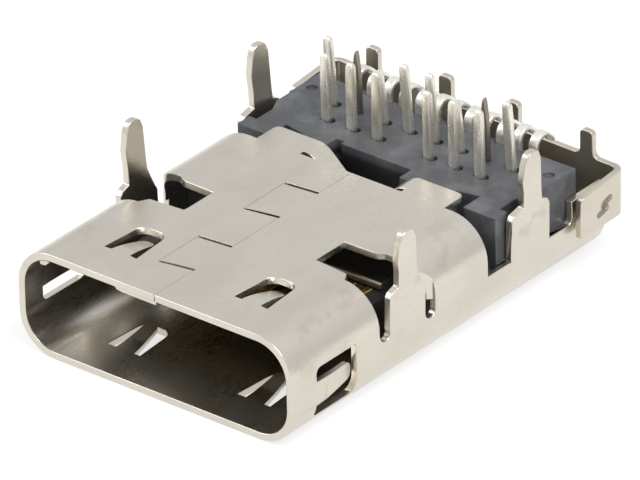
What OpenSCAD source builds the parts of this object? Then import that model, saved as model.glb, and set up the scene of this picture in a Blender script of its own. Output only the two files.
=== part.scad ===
// USB-C socket, right-angle board connector with surface-mount tails and through-hole pins.
// It lies with its board side up (+Z) and its plain back on the ground plane. The mouth faces -Y.
// Units are millimetres.

/* [Shell] */
// Outer width of the shell at the mouth
shell_w = 8.74; // [8.6:0.01:9.1]
// Outer height of the shell at the mouth
shell_h = 2.96; // [2.8:0.01:3.3]
// Thickness of the shell's sheet metal
sheet = 0.2; // [0.15:0.01:0.3]
// Outside radius of the shell's four long bends
bend_r = 1.1; // [0.8:0.05:1.4]
// Length of the shell's bottom and side walls, from the mouth
shell_len = 12.42; // [10:0.01:14]
// Distance from the mouth to the rear edge of the side bends
side_top_len = 7.68; // [6:0.01:9]
// Distance from the mouth to the rear edge of the flat top plate
plate_len = 8.5; // [7:0.01:10]
// Half width of the flat top plate behind the side bends
plate_half_w = 3.0; // [2.5:0.05:3.2]
// Height of the side walls in the notches beside the rear legs
notch_z = 1.45; // [1:0.05:2]
// Distance from the mouth to the rear side of the rear notch
notch_end = 11.05; // [10.5:0.05:12]
// Height of the side walls behind the rear notch
rear_wall_z = 2.05; // [1.5:0.05:2.1]

/* [Seam] */
// Width of the seam's long runs
seam_gap = 0.02; // [0.02:0.01:0.1]
// Width of the seam's cross runs
seam_step_gap = 0.09; // [0.04:0.01:0.15]
// Position across of the seam's centre runs
seam_x = 0.04; // [-0.2:0.02:0.2]
// Sideways throw of each dovetail
seam_throw = 1.0; // [0.6:0.05:1.4]
// Thickness of the bead under the lip at the seam
bead_t = 0.14; // [0:0.02:0.2]
// Half width of the bead under the lip
bead_half_w = 1.36; // [1:0.02:1.6]
// Setback of the bead from the lip
bead_y = 0.07; // [0:0.01:0.2]

/* [Spring fingers] */
// Distance of the flat walls' fingers from their centre line
finger_x = 2.08; // [1.5:0.02:2.6]
// Sideways offset of the flat walls' fingers
finger_shift = 0.08; // [-0.2:0.02:0.2]
// Distance from the mouth to the root of a flat wall's finger
finger_y = 1.15; // [0.6:0.05:1.6]
// Length of the slot round a finger in a flat wall
slot_len = 1.35; // [1:0.05:2]
// Width at the root of the slot round a finger in a flat wall
slot_w = 1.04; // [0.8:0.02:1.2]
// Width at the root of a finger in a flat wall
finger_w = 0.62; // [0.4:0.02:0.8]
// Inward set of the tip of a flat wall's finger
finger_set = 0.26; // [0.1:0.02:0.4]
// Width lost by a finger towards its tip
finger_taper = 0.22; // [0:0.02:0.3]
// Thickness of a finger
finger_t = 0.16; // [0.1:0.01:0.2]
// Height of the +X wall's finger; the -X wall's is as far from the other flat wall
side_finger_z = 1.21; // [1:0.01:1.5]
// Distance from the mouth to the root of the +X wall's finger
side_finger_y = 0.95; // [0.6:0.05:1.6]
// How much nearer the mouth the -X wall's finger is
side_finger_lead = 0.25; // [0:0.05:0.4]
// Length of the slot round a finger in a side wall
side_slot_len = 1.55; // [1:0.05:2]
// Width of the slot round a finger in a side wall
side_slot_w = 1.42; // [1:0.02:1.6]
// Width at the root of a finger in a side wall
side_finger_w = 0.7; // [0.4:0.02:0.9]
// Inward set of the tip of a side wall's finger
side_finger_set = 0.16; // [0.1:0.02:0.4]

/* [Legs] */
// Height of the legs' tips
leg_top = 4.45; // [4:0.05:5]
// How much shorter the +X legs are
leg_cut = 0.2; // [0:0.05:0.4]
// Outward splay of the legs in degrees
leg_splay = 2; // [0:0.5:5]
// Front of the front leg's blade
front_leg_y = 4.14; // [4:0.02:4.5]
// Front of the rear leg's blade
rear_leg_y = 9.08; // [9:0.02:9.5]
// Width of a leg's blade along the socket
leg_w = 0.68; // [0.5:0.02:0.9]
// Inner end of the window a front leg is lanced from
window_x = 2.1; // [1.8:0.05:2.6]

/* [Rear cover] */
// Overall depth, from the mouth to the cover's back
depth = 12.84; // [12:0.01:14]
// Half width over the cover's wings
cover_half_w = 4.69; // [4.6:0.01:4.8]
// Thickness of the cover's sheet metal
cover_t = 0.18; // [0.12:0.01:0.25]
// Height of the wings' lower edges
cover_low = 1.2; // [0.5:0.05:1.3]
// Height of the cover's upper edge
cover_high = 2.46; // [2:0.02:2.9]
// Distance from the mouth to the front of the wings
wing_y = 11.0; // [10.5:0.05:12]
// Fall of the wings' upper edges towards the front
wing_fall = 0.12; // [0:0.01:0.2]
// Lean of the cover to the +X side in degrees
cover_lean = 1; // [0:0.1:2]
// Height of the cover's four upright tabs
tab_top = 3.18; // [2.8:0.02:3.5]
// Width of an upright tab
tab_w = 0.4; // [0.2:0.02:0.6]
// Distance of the outer tabs from their centre line
tab_outer_x = 3.44; // [3:0.02:3.8]
// Distance of the inner tabs from their centre line
tab_inner_x = 1.08; // [0.8:0.02:1.4]
// Sideways offset of the tabs
tab_shift = 0.1; // [-0.2:0.02:0.2]

/* [Insulator] */
// Distance from the mouth to the face the tongue stands on
base_y = 6.3; // [5.8:0.05:6.6]
// Distance from the mouth to the insulator's rear face
housing_end = 11.52; // [11:0.02:12]
// Height of the insulator's board face
housing_top = 2.74; // [2.4:0.02:2.9]
// Distance from the mouth to the front of the insulator's shoulders
shoulder_y = 8.28; // [8:0.02:8.6]

/* [Tongue] */
// Width of the tongue
tongue_w = 6.69; // [6.6:0.01:6.8]
// Thickness of the tongue
tongue_t = 0.7; // [0.6:0.01:0.8]
// Distance from the mouth to the tongue's tip
tongue_y = 2.3; // [1.5:0.05:2.6]
// Distance from the mouth to the thick root of the tongue
root_y = 5.05; // [4.5:0.05:5.5]
// Width of the tongue's root
root_w = 6.3; // [6:0.05:6.7]
// Thickness of the tongue's root
root_t = 1.04; // [1:0.02:1.9]
// Thickness of the ground pads on the root
pad_t = 0.08; // [0.06:0.01:0.15]
// Distance from the mouth to the front edge of the ground pads
pad_y = 4.95; // [4.4:0.05:5.4]
// Thickness of the plate in the middle of the tongue
mid_t = 0.15; // [0.1:0.01:0.2]

/* [Contacts] */
// Pitch of the contacts on the tongue
pitch = 0.5; // [0.5:0.01:0.5]
// Width of a contact
contact_w = 0.27; // [0.2:0.01:0.3]
// Thickness of a contact
contact_t = 0.15; // [0.1:0.01:0.2]
// Height a contact stands proud of the tongue
contact_proud = 0.02; // [0:0.01:0.05]
// Pitch of the through-hole pins in a row
pin_pitch = 0.82; // [0.8:0.01:0.85]
// Distance from the mouth to the front row of pins
pin_row_y = 9.78; // [9.5:0.02:10.2]
// Distance between the two rows of pins
pin_row_gap = 0.75; // [0.6:0.01:0.9]
// Sideways lean of the rear row's tips towards -X
pin_lean = 0.1; // [0:0.02:0.2]
// Distance of the middle plate's pins from the centre
plate_pin_x = 2.05; // [1.9:0.01:2.2]
// Height of the pins' tips
pin_top = 4.62; // [4.2:0.02:5]
// Thickness of a pin along the socket
pin_t = 0.18; // [0.14:0.01:0.25]
// Pitch of the surface-mount tails
tail_pitch = 0.52; // [0.5:0.01:0.52]
// Distance from the mouth to the upright of a surface-mount contact
tail_y = 11.37; // [11:0.01:11.6]
// Height of the bend in a surface-mount tail
tail_top = 3.28; // [3:0.02:3.4]
// Outside radius of the bend in a surface-mount tail
tail_r = 0.35; // [0.25:0.01:0.45]
// Slope of a surface-mount tail's end in degrees
tail_slope = 42; // [20:1:60]
// Length of a surface-mount tail's straight end
tail_len = 0.34; // [0.1:0.02:0.6]

/* [Hidden] */
$fn = 64;
eps = 0.01;
mid_z = shell_h / 2;
window_z = notch_z + 0.22;
inner_half_w = shell_w / 2 - sheet;
housing_half_w = inner_half_w - 0.03;
plate_z = shell_h - sheet;
tongue_top = mid_z + tongue_t / 2;
tongue_low = mid_z - tongue_t / 2;
upper_z = tongue_top + contact_proud - contact_t;
lower_z = tongue_low - contact_proud;
slot_y = side_top_len + 0.02;
strip_y = slot_y + 0.15;
strip_x = 1.62;
strip_drop = 0.75;
steel = [0.80, 0.79, 0.77];
cover_steel = [0.78, 0.77, 0.74];
tin = [0.84, 0.83, 0.79];
gold = [0.83, 0.69, 0.38];
dark_plastic = [0.27, 0.27, 0.29];

// Each through-hole contact: [tongue position, pin position, row, how much shorter its pin is]
PINS = [
    [5.5, 3.5, 1, 0], [4.5, 3, 0, 0], [3.5, 2, 0, 0],
    [2.5, 1.5, 1, 0.5], [1.5, 1, 0, 0], [0.5, 0.5, 1, 0]
];

// ---------------------------------------------------------------- helpers

// Turns a drawing of (across, up) into a bar along +Y that starts at y0.
module along_y(y0, length) {
    translate([0, y0 + length, 0]) rotate([90, 0, 0]) linear_extrude(length) children();
}

// Turns a drawing of (along the socket, up) into a plate that starts at x0 and is thick across.
module across_x(x0, thickness) {
    translate([x0, 0, 0]) rotate([90, 0, 90]) linear_extrude(thickness) children();
}

// A rounded rectangle, centred across and standing on the ground line.
module rounded_box_2d(w, h, r, z0 = 0) {
    translate([-w / 2 + r, z0]) square([w - 2 * r, h]);
    translate([-w / 2, z0 + r]) square([w, h - 2 * r]);
    for (x = [-w / 2 + r, w / 2 - r], z = [z0 + r, z0 + h - r]) translate([x, z]) circle(r);
}

// The room inside the shell.
module bore_2d() {
    rounded_box_2d(shell_w - 2 * sheet, shell_h - 2 * sheet, bend_r - sheet, sheet);
}

module both_sides() {
    children();
    mirror([1, 0, 0]) children();
}

// ---------------------------------------------------------------- shell

// Window that a front leg is lanced from, seen from the board side.
module window_2d() {
    polygon([
        [window_x, 3.75], [3.15, 3.66], [3.3, 3.4], [shell_w, 3.45], [shell_w, 5.6], [4.27, 5.6], [4.2, 5.5],
        [4.08, 5.3], [3.9, 5.14], [3.6, 5.05], [3.26, 5.01], [3.14, 4.92], [3.0, 4.88], [window_x, 4.86]
    ]);
}

// The window with the rounded lower ends it has in the side wall.
module window() {
    low = window_z - 0.14;
    translate([0, 0, window_z]) linear_extrude(shell_h) window_2d();
    across_x(inner_half_w - eps, 1) {
        translate([3.63, window_z]) circle(0.2);
        translate([5.4, low]) circle(0.2);
        translate([5.2, low]) square([0.4, 0.2]);
    }
}

// Outline of a leg: (along the socket, up). The blade stands on a wider foot.
module leg_2d(y0, base, foot, front_shoulder, back_shoulder, top) {
    polygon([
        [foot[0], base], [foot[0], front_shoulder - 0.14],
        [foot[0] + 0.1, front_shoulder - 0.02], [y0, front_shoulder + 0.06],
        [y0, front_shoulder + 0.5], [y0 - 0.05, top - 0.75], [y0 + 0.03, top - 0.3],
        [y0 + 0.11, top - 0.1], [y0 + 0.18, top - 0.03], [y0 + 0.27, top], [y0 + leg_w - 0.27, top],
        [y0 + leg_w - 0.17, top - 0.03], [y0 + leg_w - 0.1, top - 0.1], [y0 + leg_w - 0.02, top - 0.3],
        [y0 + leg_w + 0.03, back_shoulder[0] + 0.3], [y0 + leg_w + 0.06, back_shoulder[0] + 0.06],
        [foot[1] - 0.08, back_shoulder[1]], [foot[1], back_shoulder[1] - 0.14], [foot[1], base]
    ]);
}

module leg(y0, base, foot, front_shoulder, back_shoulder, top) {
    translate([inner_half_w, 0, base]) rotate([0, leg_splay, 0]) translate([0, 0, -base])
        across_x(0, sheet) leg_2d(y0, base, foot, front_shoulder, back_shoulder, top);
}

// Front and rear leg of the +X side.
module legs(top) {
    leg(front_leg_y, window_z - eps, [3.8, 5.2], 2.72, [2.84, 2.36], top);
    leg(rear_leg_y, notch_z - eps, [8.6, 10.12], 2.72, [2.7, 2.66], top);
}

// A quarter circle about (x, y), from the angle a.
function corner(x, y, r, a) = [for (i = [0:6]) [x + r * cos(a + 15 * i), y + r * sin(a + 15 * i)]];

// A shape from y = 0, w0 wide, to a rounded end, w1 wide, with corners of radius r.
module tapered_2d(w0, w1, length, r) {
    polygon(concat(
        [[-w0 / 2, 0], [w0 / 2, 0]],
        corner(w1 / 2 - r, length - r, r, 0),
        corner(r - w1 / 2, length - r, r, 90)
    ));
}

// A finger with its root at y = 0: it tapers and bends down steadily from the wall's outer face.
module finger(width, length, set) {
    n = 10;
    y = [for (i = [0:n]) length * i / n];
    fall = [for (i = [0:n]) set * pow(i / n, 1.5)];
    tip_w = width - finger_taper;
    intersection() {
        across_x(-width, 2 * width) polygon(concat(
            [[-0.15, 0]], [for (i = [0:n]) [y[i], -fall[i]]],
            [for (i = [n:-1:0]) [y[i], -fall[i] - finger_t]], [[-0.15, -finger_t]]
        ));
        translate([0, -0.1, -1]) linear_extrude(2) tapered_2d(width, tip_w, length + 0.1, 0.4 * tip_w);
    }
}

// Slots through the wall, round a finger with its root at y = 0.
module flat_slot() {
    translate([0, 0, -2 * sheet]) linear_extrude(3 * sheet)
        tapered_2d(slot_w, slot_w - finger_taper * 0.7, slot_len, 0.3);
}

module side_slot() {
    w = side_slot_w / 2;
    front_r = 0.17;
    back_r = 0.08;
    translate([0, 0, -3 * sheet]) linear_extrude(4 * sheet) polygon(concat(
        corner(w - back_r, side_slot_len - back_r, back_r, 0),
        corner(back_r - w, side_slot_len - back_r, back_r, 90),
        corner(front_r - w, front_r, front_r, 180), corner(w - front_r, front_r, front_r, 270)
    ));
}

// Puts a drawing made on a wall's outer face onto the four places of the flat walls' fingers.
module at_flat_fingers() {
    for (x = [finger_shift - finger_x, finger_shift + finger_x]) {
        translate([x, finger_y, shell_h]) children();
        translate([x, finger_y, 0]) mirror([0, 0, 1]) children();
    }
}

module at_side_fingers() {
    translate([shell_w / 2, side_finger_y, side_finger_z]) rotate([0, 90, 0]) children();
    mirror([1, 0, 0]) translate([shell_w / 2, side_finger_y - side_finger_lead, shell_h - side_finger_z])
        rotate([0, 90, 0]) children();
}

// Dovetailed seam down the top plate.
module seam() {
    far_x = seam_x - seam_throw;
    runs = [
        [seam_x, -1, 1.58], [far_x, 1.36, 2.95], [seam_x, 3.0, 4.88], [far_x, 4.66, 6.3], [seam_x, 6.38, 7.8]
    ];
    steps = [[1.58, 1.36], [3.02, 2.93], [4.88, 4.66], [6.4, 6.3]];
    translate([0, 0, plate_z - 2 * sheet]) linear_extrude(4 * sheet) {
        for (run = runs) translate([run[0] - seam_gap / 2, run[1]]) square([seam_gap, run[2] - run[1]]);
        for (step = steps) polygon([
            [seam_x + seam_gap / 2, step[0] - seam_step_gap / 2],
            [seam_x + seam_gap / 2, step[0] + seam_step_gap / 2],
            [far_x - seam_gap / 2, step[1] + seam_step_gap / 2],
            [far_x - seam_gap / 2, step[1] - seam_step_gap / 2]
        ]);
    }
}

// Outline of the material removed above the side walls behind the side bends.
module notch_2d() {
    r = 0.18;
    difference() {
        polygon([
            [side_top_len, shell_h + 1], [side_top_len, notch_z], [notch_end, notch_z],
            [notch_end, rear_wall_z], [shell_len + 1, rear_wall_z], [shell_len + 1, shell_h + 1]
        ]);
        difference() {
            translate([notch_end - r, notch_z - eps]) square([r + eps, r + eps]);
            translate([notch_end - r, notch_z + r]) circle(r);
        }
    }
}

// Flat end of the top plate, with the slot in front of its two drooping strips.
module plate_end() {
    r = 0.18;
    translate([0, 0, plate_z]) linear_extrude(sheet) difference() {
        union() {
            translate([-plate_half_w, side_top_len - 0.1])
                square([2 * plate_half_w, plate_len - side_top_len + 0.1 - r]);
            translate([-plate_half_w + r, side_top_len - 0.1])
                square([2 * (plate_half_w - r), plate_len - side_top_len + 0.1]);
            for (x = [-1, 1]) translate([x * (plate_half_w - r), plate_len - r]) circle(r);
        }
        translate([-strip_x, slot_y]) square([2 * strip_x, plate_len]);
    }
}

// One drooping strip: it falls smoothly from the plate's level towards the seam.
module drooping_strip() {
    n = 18;
    low_x = 0.36;
    function turn(i) = 180 * i / n;
    function across(i) = low_x + (strip_x - low_x) * i / n;
    function fall(i) = strip_drop * (1 + cos(turn(i))) / 2;
    function slope(i) = atan(strip_drop * PI * sin(turn(i)) / 2 / (strip_x - low_x));
    along_y(strip_y, plate_len - strip_y) polygon(concat(
        [[seam_gap / 2, shell_h - strip_drop - sheet], [seam_gap / 2, shell_h - strip_drop]],
        [for (i = [0:n]) [across(i), shell_h - fall(i)]],
        [[strip_x + 0.2, shell_h], [strip_x + 0.2, plate_z]],
        [for (i = [n:-1:0]) [across(i) + sheet * sin(slope(i)), shell_h - fall(i) - sheet * cos(slope(i))]]
    ));
}

// Bead rolled under the lip on both sides of the seam. It is thicker and nearer the lip on the -X side.
module lip_bead() {
    along_y(bead_y, 0.3) polygon([
        [-bead_half_w, plate_z + eps], [-bead_half_w + 0.12, plate_z - bead_t + 0.03],
        [-bead_half_w + 0.3, plate_z - bead_t], [seam_x, plate_z - bead_t], [seam_x, plate_z + eps]
    ]);
    along_y(2 * bead_y, 0.3) polygon([
        [seam_x - eps, plate_z + eps], [seam_x - eps, plate_z - 0.7 * bead_t],
        [0.6, plate_z - 0.7 * bead_t], [bead_half_w, plate_z + eps]
    ]);
}

// The shell is one stamping: walls, fingers, lip bead, legs and drooping strips.
module shell() color(steel) {
    difference() {
        union() {
            difference() {
                along_y(0, shell_len) difference() {
                    rounded_box_2d(shell_w, shell_h, bend_r);
                    bore_2d();
                }
                across_x(-shell_w, 2 * shell_w) notch_2d();
                both_sides() window();
            }
            plate_end();
            lip_bead();
            along_y(0.02, 0.2) polygon([
                [-3.68, plate_z + sheet / 2], [-3.66, plate_z - 0.18], [-3.6, plate_z - 0.2],
                [-3.48, plate_z - 0.18], [-3.38, plate_z - 0.08], [-3.32, plate_z + sheet / 2]
            ]);
        }
        at_flat_fingers() flat_slot();
        at_side_fingers() side_slot();
        seam();
    }
    at_flat_fingers() finger(finger_w, slot_len - 0.17, finger_set);
    intersection() {
        at_side_fingers() finger(side_finger_w, side_slot_len - 0.06, side_finger_set);
        along_y(0, 5) rounded_box_2d(shell_w, shell_h, bend_r);
    }
    legs(leg_top - leg_cut);
    mirror([1, 0, 0]) legs(leg_top);
    both_sides() drooping_strip();
}

// ---------------------------------------------------------------- rear cover

module cover_tab_2d(x) {
    flare = 0.14;
    z0 = cover_high - 0.1;
    translate([x, 0]) polygon([
        [-tab_w / 2 - flare, z0], [-tab_w / 2 - flare, cover_high], [-tab_w / 2 - 0.04, cover_high + 0.06],
        [-tab_w / 2, cover_high + 0.16], [-tab_w / 2, tab_top - 0.1], [-tab_w / 2 + 0.04, tab_top - 0.03],
        [-tab_w / 2 + 0.1, tab_top], [tab_w / 2 - 0.1, tab_top], [tab_w / 2 - 0.04, tab_top - 0.03],
        [tab_w / 2, tab_top - 0.1], [tab_w / 2, cover_high + 0.16], [tab_w / 2 + 0.04, cover_high + 0.06],
        [tab_w / 2 + flare, cover_high], [tab_w / 2 + flare, z0]
    ]);
}

// A plan that is square at the front and rounded at the back, half_w to each side of the centre.
module cover_outline_2d(half_w, back, r) {
    translate([-half_w, wing_y]) square([2 * half_w, back - r - wing_y]);
    translate([r - half_w, wing_y]) square([2 * (half_w - r), back - wing_y]);
    for (x = [r - half_w, half_w - r]) translate([x, back - r]) circle(r);
}

// Plan of the cover: a back wall with a wing along each side of the shell.
module cover_plan_2d() {
    r = 0.34;
    difference() {
        cover_outline_2d(cover_half_w, depth, r);
        cover_outline_2d(cover_half_w - cover_t, depth - cover_t, r - cover_t);
        translate([cover_t - cover_half_w, wing_y - 1]) square([2 * (cover_half_w - cover_t), 1.5]);
    }
}

// Room above the wings' upper edges: (along the socket, up).
module wing_trim_2d() {
    front = cover_high - wing_fall;
    polygon([
        [wing_y - 1, cover_high + 1], [wing_y - 1, front - 0.2], [wing_y, front - 0.2],
        [wing_y + 0.02, front - 0.1], [wing_y + 0.08, front - 0.03], [wing_y + 0.18, front],
        [depth - 0.34, cover_high], [depth - 0.34, cover_high + 1]
    ]);
}

// The two slanting dimples of a wing: (along the socket, up), r wide to each side.
module dimples_2d(r) {
    for (mark = [[11.87, 1.72], [11.74, 1.49]]) translate(mark) rotate(15) {
        translate([0, -r]) square([0.3, 2 * r]);
        for (x = [0, 0.3]) translate([x, 0]) circle(r);
    }
}

module rear_cover() color(cover_steel) {
    wing_in = cover_half_w - cover_t;
    difference() {
        translate([0, 0, mid_z]) rotate([0, cover_lean, 0]) translate([0, 0, -mid_z]) {
            difference() {
                translate([0, 0, cover_low]) linear_extrude(cover_high - cover_low) cover_plan_2d();
                across_x(-5, 10) wing_trim_2d();
            }
            along_y(depth - cover_t, cover_t) {
                for (x = [-tab_outer_x, -tab_inner_x, tab_inner_x, tab_outer_x]) cover_tab_2d(x + tab_shift);
                translate([-3.0, 0.15]) square([6.0, cover_low]);
            }
            // The dimples stand on the shell's side walls
            both_sides() across_x(shell_w / 2 - 0.1, wing_in - shell_w / 2 + 0.15) dimples_2d(0.08);
        }
        translate([-shell_w / 2, 0, 0]) cube([shell_w, shell_len, shell_h]);
        both_sides() across_x(wing_in + 0.06, 1) dimples_2d(0.1);
    }
}

// ---------------------------------------------------------------- insulator

// Relief in the insulator's side beside a rear leg.
module leg_relief() {
    translate([0, 0, notch_z]) linear_extrude(shell_h) polygon([
        [5, 8.76], [3.9, 8.76], [3.9, 9.36], [4.1, 9.8], [4.1, 10.3], [inner_half_w + eps, 10.36], [5, 10.36]
    ]);
}

// Pocket behind the corner of the top plate.
module corner_pocket() {
    translate([0, 0, housing_top - 0.7]) linear_extrude(1)
        polygon([[2.38, 8], [2.44, 8.84], [3.1, 8.98], [3.1, 8]]);
}

module housing() color(dark_plastic) difference() {
    union() {
        // Inside the closed part of the shell
        along_y(base_y, 7.2 - base_y) bore_2d();
        // Under the end of the top plate
        along_y(7.2 - eps, shoulder_y - 7.2 + 2 * eps) intersection() {
            bore_2d();
            translate([-3.1, 0]) square([6.2, shell_h]);
        }
        along_y(7.2 - eps, shoulder_y - 7.2 + 2 * eps) intersection() {
            bore_2d();
            translate([-shell_w / 2, 0]) square([shell_w, notch_z - 0.2]);
        }
        // Between the side walls
        along_y(shoulder_y, housing_end - shoulder_y) {
            intersection() {
                bore_2d();
                translate([-shell_w / 2, 0]) square([shell_w, notch_z]);
            }
            translate([-housing_half_w, notch_z - eps])
                square([2 * housing_half_w, housing_top - notch_z + eps]);
        }
    }
    both_sides() {
        leg_relief();
        corner_pocket();
        translate([3.8, 10.85, housing_top - 0.1]) cylinder(r = 0.15, h = 1);
    }
    // Recess for the drooping strips, and the well behind them
    translate([-1.8, 7.5, 1.9]) cube([3.6, plate_len + 0.03 - 7.5, 2]);
    translate([-1.62, 8, 1.9]) cube([2.5, 1.02, 2]);
    translate([-1.62, 8.9, 2.3]) cube([0.24, 0.26, 1]);
    mid_plate();
    for (side = [-1, 1], p = PINS) {
        pin_contact_shape(side, p);
        translate([side * pin_x(p) + 0.12, pin_y(p), housing_top - 0.16]) cylinder(r = 0.13, h = 1);
    }
    for (n = [1:12]) smt_contact_shape(n);
}

module tongue() color(dark_plastic) difference() {
    union() {
        translate([-tongue_w / 2, tongue_y, tongue_low]) cube([tongue_w, root_y - tongue_y + eps, tongue_t]);
        translate([-root_w / 2, root_y, mid_z - root_t / 2]) cube([root_w, base_y - root_y, root_t]);
    }
    // Lead-in bevels along the tip
    for (s = [-1, 1]) across_x(-tongue_w, 2 * tongue_w)
        polygon([[tongue_y - eps, mid_z + s * tongue_t], [tongue_y - eps, mid_z + s * (tongue_t / 2 - 0.12)],
            [tongue_y + 0.22, mid_z + s * tongue_t / 2], [tongue_y + 0.22, mid_z + s * tongue_t]]);
    mid_plate();
    for (side = [-1, 1], p = PINS) pin_contact_shape(side, p);
    for (n = [1:12]) smt_contact_shape(n);
}

// ---------------------------------------------------------------- metal inside

// Plate in the middle of the tongue, with two pointed ground pins in the rear pin row.
module mid_plate() color(steel) {
    y = pin_row_y + pin_row_gap;
    translate([0, 0, mid_z - mid_t / 2]) linear_extrude(mid_t) {
        translate([-3.36, tongue_y + 0.6]) square([6.72, 1.2]);
        translate([-2.9, tongue_y + 0.15]) square([5.8, 6.5]);
        both_sides() translate([plate_pin_x - 0.14, 6]) square([0.28, y - 6 + mid_t / 2]);
    }
    both_sides() along_y(y - mid_t / 2, mid_t) translate([plate_pin_x, 0]) polygon([
        [-0.14, mid_z - mid_t / 2], [-0.14, mid_z + 0.3], [-0.1, pin_top - 0.75], [-0.04, pin_top - 0.25],
        [0, pin_top - 0.12], [0.04, pin_top - 0.25], [0.1, pin_top - 0.75], [0.14, mid_z + 0.3],
        [0.14, mid_z - mid_t / 2]
    ]);
}

// Ground pad on one face of the tongue's root, with its front edge rolled towards the tongue.
module ground_pad() color(steel) {
    z = mid_z + root_t / 2;
    along_y(pad_y + pad_t, base_y - pad_y - pad_t) translate([-root_w / 2, z]) square([root_w, pad_t]);
    intersection() {
        translate([-root_w / 2, pad_y + pad_t, z]) rotate([0, 90, 0]) cylinder(r = pad_t, h = root_w);
        translate([-root_w, pad_y, z]) cube([2 * root_w, pad_t, pad_t]);
    }
    translate([-root_w / 2, pad_y, z - 0.1]) cube([root_w, root_y - pad_y, 0.1]);
}

function pin_x(p) = p[1] * pin_pitch;
function pin_y(p) = pin_row_y + p[2] * pin_row_gap;

// A through-hole contact: a blade on the tongue's board side that fans out and turns up into a pin.
module pin_contact_shape(side, p) {
    x0 = p[0] * pitch;
    x1 = pin_x(p);
    w = contact_w / 2;
    y1 = pin_y(p) + pin_t / 2;
    top = pin_top - p[3];
    tip_x = x1 - side * p[2] * pin_lean;
    mirror(side < 0 ? [1, 0, 0] : [0, 0, 0]) {
        translate([0, 0, upper_z]) linear_extrude(contact_t) polygon([
            [x0 - w, tongue_y + 0.35], [x0 - w, 7.2], [x1 - w, 8.4], [x1 - w, y1],
            [x1 + w, y1], [x1 + w, 8.4], [x0 + w, 7.2], [x0 + w, tongue_y + 0.35]
        ]);
        along_y(y1 - pin_t, pin_t) polygon([
            [x1 - w, upper_z], [x1 - w, housing_top], [tip_x - w, top - 0.16], [tip_x - w + 0.07, top],
            [tip_x + w - 0.07, top], [tip_x + w, top - 0.16], [x1 + w, housing_top], [x1 + w, upper_z]
        ]);
    }
}

// Numbered from -X to +X.
module pin_contact(n) color(gold) {
    if (n <= 6) pin_contact_shape(-1, PINS[n - 1]);
    else pin_contact_shape(1, PINS[12 - n]);
}

// Points of the bend in a surface-mount tail, from its upright to its falling end.
function bend_points(r) = [
    for (i = [0:12]) let (a = 180 - (90 + tail_slope) * i / 12)
        [tail_y + tail_r + r * cos(a), tail_top - tail_r + r * sin(a)]
];
function reversed(list) = [for (i = [len(list) - 1:-1:0]) list[i]];

// A surface-mount contact: a blade on the tongue's back side that fans out to an upright and a bent tail.
module smt_contact_shape(n) {
    x0 = (n - 6.5) * pitch;
    x1 = (n - 6.5) * tail_pitch;
    w = contact_w / 2;
    outer = bend_points(tail_r);
    inner = bend_points(tail_r - contact_t);
    end = tail_len * [cos(tail_slope), -sin(tail_slope)];
    translate([0, 0, lower_z]) linear_extrude(contact_t) polygon([
        [x0 - w, tongue_y + 0.35], [x0 - w, 7.2], [x1 - w, 8.4], [x1 - w, 10],
        [x1 + w, 10], [x1 + w, 8.4], [x0 + w, 7.2], [x0 + w, tongue_y + 0.35]
    ]);
    across_x(x1 - w, contact_w) polygon(concat(
        [[9, lower_z + contact_t], [9, lower_z], [tail_y + contact_t, lower_z]],
        inner, [inner[12] + end, outer[12] + end], reversed(outer), [[tail_y, lower_z + contact_t]]
    ));
}

module smt_contact(n) color(tin) smt_contact_shape(n);

// ---------------------------------------------------------------- assembly

module place() {
    translate([0, -depth / 2, 0]) children();
}

place() shell();
place() rear_cover();
place() housing();
place() tongue();
place() mid_plate();
place() ground_pad();  // ground_pad_board_side
place() translate([0, 0, shell_h]) mirror([0, 0, 1]) ground_pad();  // ground_pad_back_side
for (n = [1:12]) {
    place() smt_contact(n);
    place() pin_contact(n);
}
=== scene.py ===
"""Looks of a right-angle USB-C board socket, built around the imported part.

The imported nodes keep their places. Sheet-metal and moulded pieces are shown as copies with worked
edges, and the contacts are bars carried along their bent paths.
"""

from __future__ import annotations

import logging
import math
from dataclasses import dataclass
from enum import Enum
from typing import Any

import bmesh
import bpy
import numpy as np
from mathutils import Matrix, Vector
from mathutils.bvhtree import BVHTree

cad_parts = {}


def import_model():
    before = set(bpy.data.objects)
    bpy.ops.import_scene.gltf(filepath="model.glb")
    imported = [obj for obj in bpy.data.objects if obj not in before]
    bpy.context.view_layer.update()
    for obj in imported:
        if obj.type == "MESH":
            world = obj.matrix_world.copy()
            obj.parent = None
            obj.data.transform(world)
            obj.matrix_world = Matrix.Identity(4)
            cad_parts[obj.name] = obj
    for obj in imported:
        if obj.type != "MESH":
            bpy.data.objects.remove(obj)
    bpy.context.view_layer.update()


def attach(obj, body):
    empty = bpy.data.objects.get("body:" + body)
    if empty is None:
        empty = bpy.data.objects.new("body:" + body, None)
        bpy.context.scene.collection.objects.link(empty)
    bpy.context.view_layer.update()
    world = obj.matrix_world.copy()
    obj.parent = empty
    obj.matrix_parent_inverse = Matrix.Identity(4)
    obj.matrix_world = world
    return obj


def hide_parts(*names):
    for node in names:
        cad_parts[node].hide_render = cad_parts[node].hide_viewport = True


LOG = logging.getLogger("usb_c_socket")
MM = 0.001
Colour = tuple[float, float, float]
Normals = tuple[np.ndarray, np.ndarray, np.ndarray]


def linear(red: int, green: int, blue: int) -> Colour:
    """Turns a screen colour into linear light.

    Args:
        red: red part, 0 to 255.
        green: green part, 0 to 255.
        blue: blue part, 0 to 255.

    Returns:
        The three linear values.
    """
    parts = np.array([red, green, blue]) / 255.0
    light = np.where(parts <= 0.04045, parts / 12.92, ((parts + 0.055) / 1.055) ** 2.4)
    return tuple(float(v) for v in light)


# ------------------------------------------------------------------ shader maths


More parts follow.
